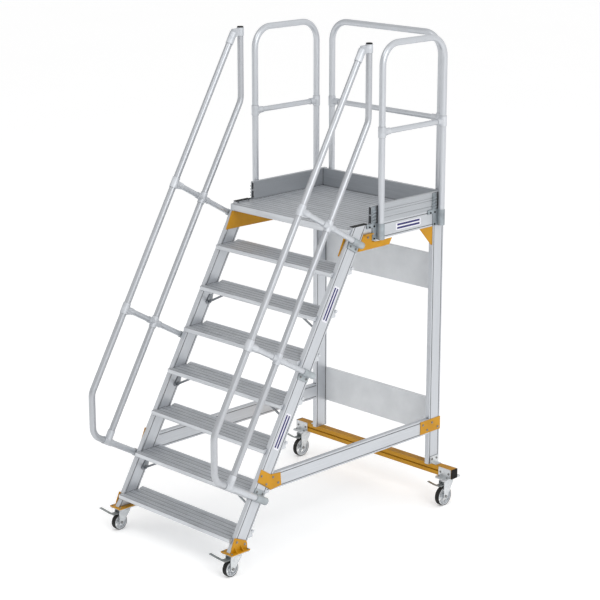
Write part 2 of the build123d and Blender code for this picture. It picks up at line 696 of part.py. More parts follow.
# ---------------------------------------------------------------- rear legs and braces
leg_top_z = side_rail_z - rail_depth / 2 - fit_gap
with BuildPart() as rear_leg_right:
    with BuildSketch(Plane(origin=(rail_mid_x, beam_y, beam_top_z + fit_gap),
                           x_dir=(0, 1, 0), z_dir=(0, 0, 1))):
        rail_section()
    extrude(amount=leg_top_z - beam_top_z - fit_gap)
    drill(leg_gusset_bolts + foot_bolts)

with BuildPart() as brace_right:
    with BuildSketch(Plane(origin=(rail_mid_x, leg_front_y - fit_gap, brace_z),
                           x_dir=(0, 0, 1), z_dir=(0, -1, 0))):
        rail_section()
    extrude(amount=1600)
    split(bisect_by=Plane(origin=on_slope(0, 0, stringer_back - fit_gap), z_dir=out_dir),
          keep=Keep.BOTTOM)
    drill(brace_gusset_bolts)
braces = both_sides(brace_right.part)

# ---------------------------------------------------------------- base beam
slot_width = 9.0
slot_depth = 9.0
with BuildPart() as base_beam:
    with BuildSketch(Plane(origin=(-beam_half, beam_y, beam_mid_z), x_dir=(0, 1, 0), z_dir=(1, 0, 0))):
        Rectangle(beam_depth, beam_height)
        Rectangle(beam_depth - 26, beam_height - 12, mode=Mode.SUBTRACT)
        for face in (-1, 1):
            with Locations((face * (beam_depth - slot_depth) / 2, 0)):
                Rectangle(slot_depth, slot_width, mode=Mode.SUBTRACT)
            with Locations((face * (beam_depth / 2 - slot_depth + 1.5), 0)):
                Rectangle(3, slot_width + 6, mode=Mode.SUBTRACT)
            for groove_y in (-16, 0, 16):
                with Locations((groove_y, face * beam_height / 2)):
                    Rectangle(6, 4, mode=Mode.SUBTRACT)
    extrude(amount=2 * beam_half)

# ---------------------------------------------------------------- rear cross panels
panel_sheet = 2.5
panel_lip = 22.0
panel_height = 230.0
with BuildPart() as rear_panels:
    for panel_z in (beam_top_z + 177, beam_top_z + 1130):
        panel_mid = panel_z + panel_height / 2
        with BuildSketch(Plane(origin=(-inner_half, panel_y, panel_mid), x_dir=(0, 1, 0), z_dir=(1, 0, 0))):
            with Locations((panel_sheet / 2, 0)):
                Rectangle(panel_sheet, panel_height)
            for edge in (-1, 1):
                with Locations((panel_lip / 2, edge * (panel_height - panel_sheet) / 2)):
                    Rectangle(panel_lip, panel_sheet)
        extrude(amount=2 * inner_half)

# ---------------------------------------------------------------- coated gusset plates
inner_face = inner_half - plate_thick
with BuildPart() as gusset_set:
    side_plate([(200, 530), (231, 602), (308, 551), (386, 544), (392, 463), (304, 456)],
               outer_face, gusset_thick)
    side_plate([(1626, 462), (1626, 547), (1814, 547), (1814, 462)], outer_face, gusset_thick)
    # outer platform gusset: a tab under the highest rail clamp, then back under the side rail
    side_plate([(1041, 1763), (1041, 1787), (999, 1811), (1016, 1840), (1058, 1816), (1082, 1861),
                (1153, 1857), (1153, 1808), (1172, 1803), (1250, 1803), (1333, 1804), (1309, 1765)],
               outer_face, gusset_thick)
    side_plate([(899, 1755), (952, 1867), (1200, 1800), (1313, 1751)], inner_face)
    # corner plate between the side rail's underside and the leg's front face, with its flanges
    corner_top = side_rail_z - rail_depth / 2 - fit_gap
    corner_back = leg_front_y - datum_y - fit_gap
    side_plate([(1590, corner_top), (corner_back, corner_top), (corner_back, 1692),
                (corner_back - 10, 1692)], rail_outer_x - 2 * gusset_thick, gusset_thick)
    with Locations((rail_outer_x - 14, datum_y + 1650, corner_top - gusset_thick / 2)):
        Box(20, 110, gusset_thick)
    with Locations((rail_outer_x - 14, datum_y + corner_back - gusset_thick / 2, corner_top - 50)):
        Box(20, gusset_thick, 100)
    # upturned edge of the outer platform gusset
    with Locations((outer_face + 11, datum_y + 1117, 1859.0)):
        Box(22, 70, 4)
    drill(gusset_bolts)
gusset_plates = both_sides(gusset_set.part)

# ---------------------------------------------------------------- front caster brackets
bracket_thick = stringer_foot_z - front_caster_top
with BuildPart() as front_bracket:
    with BuildSketch(Plane.XY.offset(front_caster_top)):
        with Locations(front_caster_xy):
            RectangleRounded(caster_plate_size[0], 150, 6)
    extrude(amount=bracket_thick - fit_gap)
    side_plate([(-20, front_caster_top + 1), (-12, 178), (14, 236), (104, 196), (111, 178),
                (111, front_caster_top + 1)], outer_face)
    for rib_y in (12, 62):
        with BuildSketch(Plane.XZ.offset(-datum_y - rib_y)) as rib:
            with BuildLine():
                Polyline((outer_face + 4, 149), (outer_face + 4, 180), (outer_face + 34, 149), close=True)
            make_face()
        extrude(rib.sketch, amount=4)
    drill(bracket_bolts)
    drill(caster_bolts)
front_caster_brackets = both_sides(front_bracket.part)

# ---------------------------------------------------------------- rear clamps and foot angles
flange_length = 32.0
with BuildPart() as clamp_and_foot:
    for side in (-1, 1):
        wall_y = beam_y + side * (beam_depth / 2 + fit_gap + plate_thick / 2)
        with Locations((rear_caster_xy[0], wall_y, beam_mid_z + 1)):
            Box(100, plate_thick, beam_height - 2 - 2 * fit_gap)
        with Locations((rear_caster_xy[0], wall_y + side * flange_length / 2,
                        rear_caster_top + fit_gap + plate_thick / 2)):
            Box(100, flange_length + plate_thick, plate_thick)
    with Locations((outer_face + plate_thick / 2, datum_y + 1763, beam_top_z + fit_gap + 24)):
        Box(plate_thick, 76, 48)
    with Locations((outer_face + 22, datum_y + 1763, beam_top_z + fit_gap + plate_thick / 2)):
        Box(44, 50, plate_thick)
    drill(beam_bolts, 7)
    drill(rear_plate_bolts)
    drill(foot_bolts)
base_clamps = both_sides(clamp_and_foot.part)

# ---------------------------------------------------------------- casters
Caster = namedtuple("Caster", "x y top radius pedal_z pedal_reach")
front_sizes = (front_caster_xy[1], front_caster_top, front_wheel_radius, front_pedal_z, front_pedal_reach)
rear_sizes = (rear_caster_xy[1], rear_caster_top, rear_wheel_radius, rear_pedal_z, rear_pedal_reach)
casters = {
    "front_left": Caster(-front_caster_xy[0], *front_sizes),
    "front_right": Caster(front_caster_xy[0], *front_sizes),
    "rear_left": Caster(-rear_caster_xy[0], *rear_sizes),
    "rear_right": Caster(rear_caster_xy[0], *rear_sizes),
}
kingpin_radius = 7.0
kingpin_head = (11.0, 4.0)        # radius and height of the riveted head
crown_thick = 3.7
crown_radius = 36.0
crown_gap = 0.3                   # play between the race and the crown
cheek_low = 17.0                  # how far a cheek reaches below and beside the axle
cheek_slant = 12.0
nut_radius = 9.5
nut_thick = 5.0
tyre_thick = 5.0
tyre_shoulder = 2.0
rim_inset = 1.0                   # rim face, inside the tyre's edge
pedal_sheet = 3.0
pedal_length = 62.0
lever_width = 18.0
lever_lift = 9.0                  # rise of the side lever towards its tip
shoe_gap = 2.5                    # brake shoe above the tyre, pedal up

with BuildPart() as caster_plates:
    for spot in casters.values():
        plate_low = spot.top - fit_gap - caster_plate_size[2]
        pin_length = race_height + crown_gap + crown_thick
        with BuildSketch(Plane(origin=(spot.x, spot.y, plate_low), z_dir=(0, 0, 1))):
            RectangleRounded(caster_plate_size[0], caster_plate_size[1], 6)
        extrude(amount=caster_plate_size[2])
        with BuildSketch(Plane(origin=(spot.x, spot.y, plate_low), z_dir=(0, 0, -1))):
            Circle(race_radius)
        extrude(amount=race_height, taper=12)
        # kingpin and its riveted head, under the fork's crown
        with BuildSketch(Plane(origin=(spot.x, spot.y, plate_low), z_dir=(0, 0, -1))):
            Circle(kingpin_radius)
        extrude(amount=pin_length + 1)
        head_plane = Plane(origin=(spot.x, spot.y, plate_low - pin_length - crown_gap), z_dir=(0, 0, -1))
        with BuildSketch(head_plane):
            Circle(kingpin_head[0])
        extrude(amount=kingpin_head[1])
    for x_sign in (-1, 1):
        for bolt in caster_bolts + rear_plate_bolts:
            place = Plane(origin=(x_sign * bolt.origin.X, bolt.origin.Y, bolt.origin.Z), z_dir=(0, 0, 1))
            drill([place])


def build_fork(spot):
    """Pressed fork: crown under the race, two cheeks down to the axle, pedal pin between them."""
    crown_top = spot.top - fit_gap - caster_plate_size[2] - race_height - crown_gap
    crown_low = crown_top - crown_thick
    shoulder_z = crown_low - cheek_slant
    wheel_y = spot.y - caster_trail
    cheek_x = fork_gap / 2
    with BuildPart() as fork:
        with BuildSketch(Plane(origin=(spot.x, spot.y, crown_low), x_dir=(1, 0, 0), z_dir=(0, 0, 1))):
            Circle(crown_radius)
            with Locations((0, -14)):
                Rectangle(2 * (cheek_x + fork_sheet), 58)
        extrude(amount=crown_thick)
        for start_x in (spot.x - cheek_x - fork_sheet, spot.x + cheek_x):
            with BuildSketch(Plane.YZ.offset(start_x)) as cheek_face:
                with BuildLine():
                    Polyline((wheel_y - 15, crown_top), (spot.y + 31, crown_top), (spot.y + 26, shoulder_z),
                             (wheel_y + cheek_low, spot.radius),
                             (wheel_y + cheek_slant, spot.radius - cheek_slant),
                             (wheel_y, spot.radius - cheek_low),
                             (wheel_y - cheek_slant, spot.radius - cheek_slant),
                             (wheel_y - cheek_low, spot.radius),
                             (wheel_y - cheek_low, shoulder_z), close=True)
                make_face()
                with Locations((wheel_y, spot.radius)):
                    Circle(axle_radius + 0.05, mode=Mode.SUBTRACT)
            extrude(cheek_face.sketch, amount=fork_sheet)
        with BuildSketch(Plane(origin=(spot.x, spot.y, crown_low - 1), z_dir=(0, 0, 1))) as pin_hole:
            Circle(kingpin_radius + running_gap)
        extrude(pin_hole.sketch, amount=crown_thick + 2, mode=Mode.SUBTRACT)
        with BuildSketch(Plane.YZ.offset(spot.x - cheek_x - 1)) as pedal_pin:
            with Locations((wheel_y + pedal_pin_ahead, spot.pedal_z)):
                Circle(pedal_pin_radius)
        extrude(pedal_pin.sketch, amount=2 * cheek_x + 2)
    return fork.part


def build_axle(spot):
    """Axle bolt with a hexagon head at one end and a nut at the other."""
    half = fork_gap / 2 + fork_sheet
    wheel_y = spot.y - caster_trail
    bolt_half = half + nut_thick + 1
    with BuildPart() as axle:
        with BuildSketch(Plane.YZ.offset(spot.x - bolt_half)) as shank:
            with Locations((wheel_y, spot.radius)):
                Circle(axle_radius)
        extrude(shank.sketch, amount=2 * bolt_half)
        for start in (-half - nut_thick - fit_gap, half + fit_gap):
            with BuildSketch(Plane.YZ.offset(spot.x + start)) as nut:
                with Locations((wheel_y, spot.radius)):
                    RegularPolygon(nut_radius, 6)
            extrude(nut.sketch, amount=nut_thick)
    return axle.part


def build_hub(spot):
    """Cast wheel centre: rim, web with five lightening holes and five ribs, boss with the bore."""
    rim_radius = spot.radius - tyre_thick
    web_hole_out = rim_radius * 0.62
    hub_plane = Plane(origin=(spot.x, spot.y - caster_trail, spot.radius), x_dir=(0, 1, 0), z_dir=(1, 0, 0))
    with BuildPart() as hub:
        with BuildSketch(hub_plane) as rim:
            ring(rim_radius, rim_radius - 5)
        extrude(rim.sketch, amount=tyre_width / 2 - rim_inset, both=True)
        with BuildSketch(hub_plane) as web:
            Circle(rim_radius - 4)
            with PolarLocations(web_hole_out, 5):
                Circle(rim_radius * 0.2, mode=Mode.SUBTRACT)
        extrude(web.sketch, amount=4, both=True)
        with BuildSketch(hub_plane) as spokes:
            with PolarLocations(web_hole_out, 5, start_angle=36):
                Rectangle(web_hole_out, 4)
        extrude(spokes.sketch, amount=10, both=True)
        with BuildSketch(hub_plane) as boss:
            Circle(14)
        extrude(boss.sketch, amount=fork_gap / 2 - 1.5, both=True)
        with BuildSketch(hub_plane) as bore:
            Circle(axle_radius + running_gap)
        extrude(bore.sketch, amount=fork_gap, both=True, mode=Mode.SUBTRACT)
    return hub.part


def build_tyre(spot):
    """Rubber tyre with rounded shoulders, revolved about the axle."""
    rim_radius = spot.radius - tyre_thick
    centre = (spot.x, spot.y - caster_trail, spot.radius)
    with BuildPart() as tyre:
        with BuildSketch(Plane(origin=centre, x_dir=(1, 0, 0), z_dir=(0, -1, 0))) as tread:
            with Locations((0, (spot.radius + rim_radius + 0.05) / 2)):
                RectangleRounded(tyre_width, tyre_thick - 0.05, tyre_shoulder)
        revolve(tread.sketch, axis=Axis(centre, (1, 0, 0)))
    return tyre.part


def build_pedal(spot):
    """Brake pedal: pivot tube on the fork's pin, blade with a shoe over the tyre, side lever."""
    pivot_y = spot.y - caster_trail + pedal_pin_ahead
    half = fork_gap / 2 - 1
    tube_radius = pedal_pin_radius + 2
    blade_low = spot.pedal_z - tube_radius
    blade_high = blade_low + pedal_sheet
    shoe_low = 2 * spot.radius + shoe_gap
    lever_tip = spot.x - spot.pedal_reach
    lever_bend = spot.x - 30
    with BuildPart() as pedal:
        with BuildSketch(Plane.YZ.offset(spot.x - half)) as tube:
            with Locations((pivot_y, spot.pedal_z)):
                Circle(tube_radius)
        extrude(tube.sketch, amount=2 * half)
        with Locations((spot.x, pivot_y - pedal_length / 2, (blade_low + blade_high) / 2)):
            Box(2 * half, pedal_length, pedal_sheet)
        with BuildSketch(Plane.XZ.offset(pedal_length - lever_width + 2 - pivot_y)) as lever:
            with BuildLine():
                Polyline((spot.x + half, blade_low), (lever_bend, blade_low),
                         (lever_tip, blade_low + lever_lift), (lever_tip, blade_high + lever_lift),
                         (lever_bend, blade_high), (spot.x + half, blade_high), close=True)
            make_face()
        extrude(lever.sketch, amount=lever_width)
        with Locations((spot.x, pivot_y - 24, (shoe_low + blade_low + 1) / 2)):
            Box(22, 12, blade_low + 1 - shoe_low)
        with BuildSketch(Plane.YZ.offset(spot.x - fork_gap)) as bore:
            with Locations((pivot_y, spot.pedal_z)):
                Circle(pedal_pin_radius + running_gap)
        extrude(bore.sketch, amount=2 * fork_gap, mode=Mode.SUBTRACT)
    return pedal.part


caster_parts = {}
for spot_name, spot in casters.items():
    caster_parts[f"caster_fork_{spot_name}"] = build_fork(spot)
    caster_parts[f"caster_axle_{spot_name}"] = build_axle(spot)
    caster_parts[f"wheel_hub_{spot_name}"] = build_hub(spot)
    caster_parts[f"tyre_{spot_name}"] = build_tyre(spot)
    caster_parts[f"brake_pedal_{spot_name}"] = build_pedal(spot)

# ---------------------------------------------------------------- bolts and caps
head_height = 5.5
caster_nut_height = 5.0
caster_shank = 15.0
beam_shank = 6.0
slot_shank = plate_thick + fit_gap + groove_depth - 0.4
front_nut_drop = 11.5     # from the head's seat down to the nut's
rear_nut_drop = 10.6
with BuildPart() as bolt_set:
    # places, length and radius of the shank
    groups = [
        (gusset_bolts + bracket_bolts + foot_bolts + clamp_bolts, bolt_shank, bolt_radius),
        (holder_bolts, slot_shank, slot_bolt_radius),
        (strut_bolts, strut_bolt_depth, bolt_radius),
        (caster_bolts + rear_plate_bolts, caster_shank, bolt_radius),
        (beam_bolts, beam_shank, bolt_radius),
    ]
    for planes, shank_length, shank_radius in groups:
        for plane in planes:
            with BuildSketch(plane.offset(0.1)) as head:
                RegularPolygon(bolt_head, 6)
            extrude(head.sketch, amount=head_height)
            with BuildSketch(plane.offset(0.1)) as shank:
                Circle(shank_radius)
            extrude(shank.sketch, amount=-shank_length)
    for plane in caster_bolts + rear_plate_bolts:
        nut_drop = front_nut_drop if plane in caster_bolts else rear_nut_drop
        with BuildSketch(plane.offset(-nut_drop)) as nut:
            RegularPolygon(bolt_head, 6)
        extrude(nut.sketch, amount=-caster_nut_height)
frame_bolts = both_sides(bolt_set.part)

with BuildPart() as cap_set:
    cap_front = stringer_face_y(stringer_top_z, stringer_front)
    cap_back = stringer_face_y(stringer_top_z, stringer_back)
    with Locations((rail_mid_x, (cap_front + cap_back) / 2, stringer_top_z + fit_gap + 2)):
        Box(rail_width + 3, cap_back - cap_front + 5, 4)
    with Locations((handrail_x, knee_post_y, rail_top_z + fit_gap + 3)):
        Cylinder(knee_tube / 2 + 1, 6)
    with Locations((beam_half + cap_thick / 2 + fit_gap, beam_y, beam_mid_z)):
        Box(cap_thick, beam_depth + 2, beam_height + 2)
end_caps = both_sides(cap_set.part)

# ---------------------------------------------------------------- mirrored pieces and export
pieces = {
    "stringer_right": stringer_right.part,
    "stringer_left": mirrored(stringer_right.part),
    "support_angles": support_angles,
    "deck_planks": deck_planks.part,
    "side_rails": both_sides(side_rail_right.part),
    "rear_cross_rail": rear_cross_rail.part,
    "toe_board_right": toe_board_right.part,
    "toe_board_left": mirrored(toe_board_right.part),
    "toe_board_rear": toe_board_rear.part,
    "guard_right": guard_right,
    "guard_left": mirrored(guard_right),
    "guard_rear": guard_rear,
    "guard_mid_rails": guard_mid_rails.part,
    "guard_connectors": guard_connectors,
    "post_holders": post_holders,
    "handrail_right": handrail_right,
    "handrail_left": mirrored(handrail_right),
    "knee_rail_right": knee_rail_right,
    "knee_rail_left": mirrored(knee_rail_right),
    "handrail_stubs": handrail_stubs,
    "handrail_connectors": handrail_connectors,
    "rail_clamps": rail_clamps,
    "rear_leg_right": rear_leg_right.part,
    "rear_leg_left": mirrored(rear_leg_right.part),
    "braces": braces,
    "base_beam": base_beam.part,
    "rear_panels": rear_panels.part,
    "gusset_plates": gusset_plates,
    "front_caster_brackets": front_caster_brackets,
    "base_clamps": base_clamps,
    "caster_plates": caster_plates.part,
    "frame_bolts": frame_bolts,
    "end_caps": end_caps,
}
pieces.update(steps)
pieces.update(caster_parts)

os.makedirs("parts", exist_ok=True)
for name, piece in pieces.items():
    piece.label = name
    export_step(piece, f"parts/{name}.step")
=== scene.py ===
import math

import bmesh
import bpy
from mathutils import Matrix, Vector


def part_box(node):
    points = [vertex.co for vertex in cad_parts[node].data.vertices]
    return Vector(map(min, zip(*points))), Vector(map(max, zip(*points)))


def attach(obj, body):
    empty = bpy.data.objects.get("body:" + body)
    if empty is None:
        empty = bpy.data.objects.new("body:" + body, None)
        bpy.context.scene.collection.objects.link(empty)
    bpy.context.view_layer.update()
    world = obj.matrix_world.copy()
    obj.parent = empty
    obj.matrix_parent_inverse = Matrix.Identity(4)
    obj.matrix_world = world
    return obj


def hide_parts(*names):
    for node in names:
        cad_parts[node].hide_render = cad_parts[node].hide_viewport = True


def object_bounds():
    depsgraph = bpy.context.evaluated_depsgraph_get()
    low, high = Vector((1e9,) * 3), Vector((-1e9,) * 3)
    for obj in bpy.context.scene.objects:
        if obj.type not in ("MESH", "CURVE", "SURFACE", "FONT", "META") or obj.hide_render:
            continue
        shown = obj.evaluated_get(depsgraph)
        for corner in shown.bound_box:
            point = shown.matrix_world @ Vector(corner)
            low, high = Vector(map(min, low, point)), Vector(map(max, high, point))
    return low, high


# Looks of the rolling warehouse ladder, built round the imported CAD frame. Metres, +Z up,
# floor at Z = 0, +Y the climbing direction, +X to the climber's right.

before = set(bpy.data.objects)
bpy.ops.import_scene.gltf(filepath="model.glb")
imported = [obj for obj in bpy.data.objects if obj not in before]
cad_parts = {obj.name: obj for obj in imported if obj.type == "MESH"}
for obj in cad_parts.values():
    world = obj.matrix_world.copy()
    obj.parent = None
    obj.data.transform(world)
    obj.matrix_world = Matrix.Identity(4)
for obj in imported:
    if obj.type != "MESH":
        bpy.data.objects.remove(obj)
cad_low, cad_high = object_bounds()
scene = bpy.context.scene

CORNERS = ("front_left", "front_right", "rear_left", "rear_right")
SLOPE = math.radians(60)
# treads: ridge tops of the lowest one, rise from one to the next, height of their ridges
FIRST_TREAD_Z = 0.230
TREAD_RISE = 0.240
RIDGE_HEIGHT = 0.0018
TREAD_PLAY = 0.0002       # keeps the ridge tops inside one rise

# ---------------------------------------------------------------- node helpers


def add_node(tree, kind, inputs=None, **settings):
    """New node; an input is given a value, or is linked when it is another node's output."""
    node = tree.nodes.new(kind)
    for name, value in settings.items():
        setattr(node, name, value)
    for name, value in (inputs or {}).items():
        if isinstance(value, bpy.types.NodeSocket):
            tree.links.new(value, node.inputs[name])
        else:
            node.inputs[name].default_value = value
    return node


def new_shader(name, **values):
    """New material, and its principled shader with constant values set on its own sockets."""
    material = bpy.data.materials.new(name)
    material.use_nodes = True
    tree = material.node_tree
    shader = tree.nodes["Principled BSDF"]
    for socket, value in values.items():
        shader.inputs[socket.replace("_", " ")].default_value = value
    return material, tree, shader


def object_coords(tree, turn=(0, 0, 0), stretch=(1, 1, 1)):
    """Object coordinates, turned so that local x follows the grain and stretched along it."""
    coords = add_node(tree, "ShaderNodeTexCoord")
    mapping = add_node(tree, "ShaderNodeMapping", {"Vector": coords.outputs["Object"]},
                       vector_type="TEXTURE")
    mapping.inputs["Rotation"].default_value = turn
    mapping.inputs["Scale"].default_value = stretch
    return mapping.outputs["Vector"]


def noise(tree, coords, scale, detail=3.0, rough=0.55):
    texture = add_node(tree, "ShaderNodeTexNoise", {"Vector": coords, "Scale": scale, "Detail": detail,
                                                    "Roughness": rough})
    return texture.outputs["Fac"]


def even_noise(tree, size, detail=3.0, rough=0.55):
    """Noise without a direction, with features of about the given size."""
    return noise(tree, object_coords(tree, stretch=(size, size, size)), 1.0, detail, rough)


def ranged(tree, value, low, high, to_low, to_high):
    """Value mapped from one range to another, and kept inside it."""
    mapped = add_node(tree, "ShaderNodeMapRange", {"Value": value, "From Min": low, "From Max": high,
                                                   "To Min": to_low, "To Max": to_high})
    return mapped.outputs["Result"]


def blend_colours(tree, factor, first, second):
    mix = add_node(tree, "ShaderNodeMix", data_type="RGBA")
    tree.links.new(factor, mix.inputs["Factor"])
    for index, value in ((6, first), (7, second)):
        if isinstance(value, bpy.types.NodeSocket):
            tree.links.new(value, mix.inputs[index])
        else:
            mix.inputs[index].default_value = (*value, 1)
    return mix.outputs[2]


def times(tree, first, second):
    product = add_node(tree, "ShaderNodeMath", operation="MULTIPLY")
    for index, value in enumerate((first, second)):
        if isinstance(value, bpy.types.NodeSocket):
            tree.links.new(value, product.inputs[index])
        else:
            product.inputs[index].default_value = value
    return product.outputs[0]


def edge_mask(tree, radius):
    """1 along sharp edges, 0 on flat faces, from how far a rounded normal turns away."""
    rounded = add_node(tree, "ShaderNodeBevel", {"Radius": radius}, samples=4)
    geometry = add_node(tree, "ShaderNodeNewGeometry")
    turned = add_node(tree, "ShaderNodeVectorMath", operation="DOT_PRODUCT")
    tree.links.new(rounded.outputs["Normal"], turned.inputs[0])
    tree.links.new(geometry.outputs["Normal"], turned.inputs[1])
    return ranged(tree, turned.outputs["Value"], 0.80, 0.995, 1.0, 0.0)


def crevice_shade(tree, reach):
    """Mask of painted shade: 1 deep in grooves, corners and contacts with other parts, 0 on open faces."""
    open_sky = add_node(tree, "ShaderNodeAmbientOcclusion", {"Distance": reach}, samples=8)
    return ranged(tree, open_sky.outputs["AO"], 0.35, 0.85, 1.0, 0.0)


def surface(tree, shader, colour, grain, rough, strength, distance, round_edge=0.0012):
    """Colour, roughness that follows the grain, and the grain as bump on slightly rounded edges."""
    tree.links.new(colour, shader.inputs["Base Color"])
    tree.links.new(ranged(tree, grain, 0.3, 0.7, rough[0], rough[1]), shader.inputs["Roughness"])
    rounded = add_node(tree, "ShaderNodeBevel", {"Radius": round_edge}, samples=4)
    relief = add_node(tree, "ShaderNodeBump", {"Height": grain, "Strength": strength, "Distance": distance,
                                               "Normal": rounded.outputs["Normal"]})
    tree.links.new(relief.outputs["Normal"], shader.inputs["Normal"])


def tinted(colour, share):
    """Colour made lighter or darker by a share."""
    return [min(1, share * channel) for channel in colour]


# ---------------------------------------------------------------- materials
ALONG_X = (0, 0, 0)
ALONG_Y = (0, 0, math.radians(90))
ALONG_Z = (0, math.radians(-90), 0)
ALONG_SLOPE = (0, -SLOPE, math.radians(90))
# near black of the painted shade in grooves, corners and contacts between parts, with grime
CREVICE_SHADE_AND_GRIME = (0.055, 0.057, 0.060)


def drawn_metal(name, light, dark, turn):
    """Extruded aluminium: hairlines along the extrusion, soft clouds, a few scuffs, bright edges, painted
    shade with grime in grooves and corners.
    """
    hairline = 0.0011
    scuff_share, shade_and_grime_share, edge_share = 0.25, 0.85, 0.5
    material, tree, shader = new_shader(name, Metallic=0.72)
    lines = noise(tree, object_coords(tree, turn, (0.35, hairline, hairline)), 1.0, 4.0)
    clouds = noise(tree, object_coords(tree, turn, (0.30, 0.06, 0.06)), 1.0, 2.0)
    marks = noise(tree, object_coords(tree, turn, (0.05, 0.02, 0.02)), 1.0, 6.0, 0.7)
    tone = blend_colours(tree, ranged(tree, lines, 0.35, 0.65, 0.0, 1.0), dark, light)
    cloud = blend_colours(tree, ranged(tree, clouds, 0.35, 0.7, 0.0, 0.35), tone, light)
    scuffed = times(tree, ranged(tree, marks, 0.60, 0.72, 0.0, 1.0), scuff_share)
    worn = blend_colours(tree, scuffed, cloud, tinted(dark, 0.72))
    edge = times(tree, edge_mask(tree, 0.0015), edge_share)
    polished = blend_colours(tree, edge, worn, tinted(light, 1.12))
    # painted shade: grooves, corners and contacts with other parts darkened almost to black, with grime
    shaded_and_grimy = blend_colours(tree, times(tree, crevice_shade(tree, 0.010), shade_and_grime_share), polished, CREVICE_SHADE_AND_GRIME)
    surface(tree, shader, shaded_and_grimy, lines, (0.30, 0.46), 0.12, 0.0004)
    return material


def ridged_metal(name, light, dark, dust_and_groove_shade):
    """Ridged tread: every tread and the deck repeat at one rise, so height tells ridge from groove. The
    grooves are darkened: painted shade, with dirt in them.
    """
    material, tree, shader = new_shader(name, Metallic=0.60)
    coords = object_coords(tree)
    height = add_node(tree, "ShaderNodeSeparateXYZ", {"Vector": coords}).outputs["Z"]
    below = add_node(tree, "ShaderNodeMath", operation="ADD")
    tree.links.new(height, below.inputs[0])
    below.inputs[1].default_value = TREAD_PLAY - FIRST_TREAD_Z
    level = add_node(tree, "ShaderNodeMath", operation="FLOORED_MODULO")
    tree.links.new(below.outputs[0], level.inputs[0])
    level.inputs[1].default_value = TREAD_RISE
    # levels within a rise, at shares of the ridges' height below their tops
    groove_high, ridge_low, sheet_low, sheet_high = [
        TREAD_RISE - share * RIDGE_HEIGHT for share in (0.8, 0.2, 1.8, 1.3)
    ]
    not_above = ranged(tree, level.outputs[0], groove_high, ridge_low, 1.0, 0.0)
    not_below = ranged(tree, level.outputs[0], sheet_low, sheet_high, 0.0, 1.0)
    streaks = noise(tree, object_coords(tree, ALONG_X, (0.50, 0.004, 0.02)), 1.0, 3.0)
    hairlines = noise(tree, object_coords(tree, ALONG_X, (0.25, 0.0015, 0.0015)), 1.0, 3.0)
    scuff = noise(tree, object_coords(tree, ALONG_X, (0.14, 0.05, 0.05)), 1.0, 4.0, 0.65)
    tone = blend_colours(tree, ranged(tree, streaks, 0.32, 0.68, 0.0, 1.0), dark, light)
    trodden = blend_colours(tree, ranged(tree, scuff, 0.55, 0.75, 0.0, 0.35), tone, tinted(dark, 0.75))
    # grooves between the ridges darkened towards the groove colour: painted shade, with dust
    grooved = times(tree, times(tree, not_above, not_below), ranged(tree, scuff, 0.3, 0.7, 0.55, 0.85))
    dusty_and_groove_shaded = blend_colours(tree, grooved, trodden, dust_and_groove_shade)
    surface(tree, shader, dusty_and_groove_shaded, hairlines, (0.34, 0.52), 0.12, 0.0004, 0.0008)
    return material


def cast_metal(name, light, dark):
    """Tumbled casting: fine pitted skin, darker patches, edges polished by handling."""
    material, tree, shader = new_shader(name, Metallic=0.6)
    skin = even_noise(tree, 0.004, 5.0, 0.6)
    patches = even_noise(tree, 0.05, 3.0)
    tone = blend_colours(tree, ranged(tree, patches, 0.35, 0.65, 0.0, 1.0), dark, light)
    edge = times(tree, edge_mask(tree, 0.002), 0.6)
    polished = blend_colours(tree, edge, tone, tinted(light, 1.15))
    surface(tree, shader, polished, skin, (0.42, 0.60), 0.25, 0.0006, 0.0018)
    return material


def zinc_metal(name, light, dark):
    """Zinc plated steel: spangle in faint cells, a dull bloom, bright worn edges."""
    material, tree, shader = new_shader(name, Metallic=0.8)
    cells = add_node(tree, "ShaderNodeTexVoronoi", {"Vector": object_coords(tree), "Scale": 90.0})
    spangle = add_node(tree, "ShaderNodeSeparateColor", {"Color": cells.outputs["Color"]})
    bloom = even_noise(tree, 0.03, 4.0)
    tone = blend_colours(tree, ranged(tree, spangle.outputs["Red"], 0.0, 1.0, 0.0, 0.6), light, dark)
    cloudy = blend_colours(tree, ranged(tree, bloom, 0.4, 0.7, 0.0, 0.5), tone, dark)
    edge = times(tree, edge_mask(tree, 0.0012), 0.5)
    polished = blend_colours(tree, edge, cloudy, tinted(light, 1.15))
    surface(tree, shader, polished, bloom, (0.30, 0.48), 0.12, 0.0005, 0.0010)
    return material


def powder_coat(name, light, dark, chip):
    """Powder coat: orange peel skin, small shifts of tone, thin wear on the edges."""
    material, tree, shader = new_shader(name, Metallic=0.0, Specular_IOR_Level=0.3)
    peel = even_noise(tree, 0.0022, 2.0)
    clouds = even_noise(tree, 0.12, 4.0)
    chips = even_noise(tree, 0.006, 4.0)
    tone = blend_colours(tree, ranged(tree, clouds, 0.35, 0.65, 0.0, 1.0), dark, light)
    worn = times(tree, edge_mask(tree, 0.0012), ranged(tree, chips, 0.50, 0.62, 0.0, 0.8))
    surface(tree, shader, blend_colours(tree, worn, tone, chip), peel, (0.34, 0.46), 0.18, 0.0004)
    return material


def moulded(name, light, dark, rough=(0.45, 0.62), grain=0.0012, strength=0.3):
    """Moulded plastic or rubber: spark-eroded skin with a little dust in it."""
    material, tree, shader = new_shader(name, Specular_IOR_Level=0.15)
    skin = even_noise(tree, grain, 3.0)
    dust_and_groove_shade = even_noise(tree, 0.04, 5.0)
    dusty_and_groove_shaded = blend_colours(tree, ranged(tree, dust_and_groove_shade, 0.45, 0.7, 0.0, 1.0), dark, light)
    surface(tree, shader, dusty_and_groove_shaded, skin, rough, strength, 0.0004)
    return material


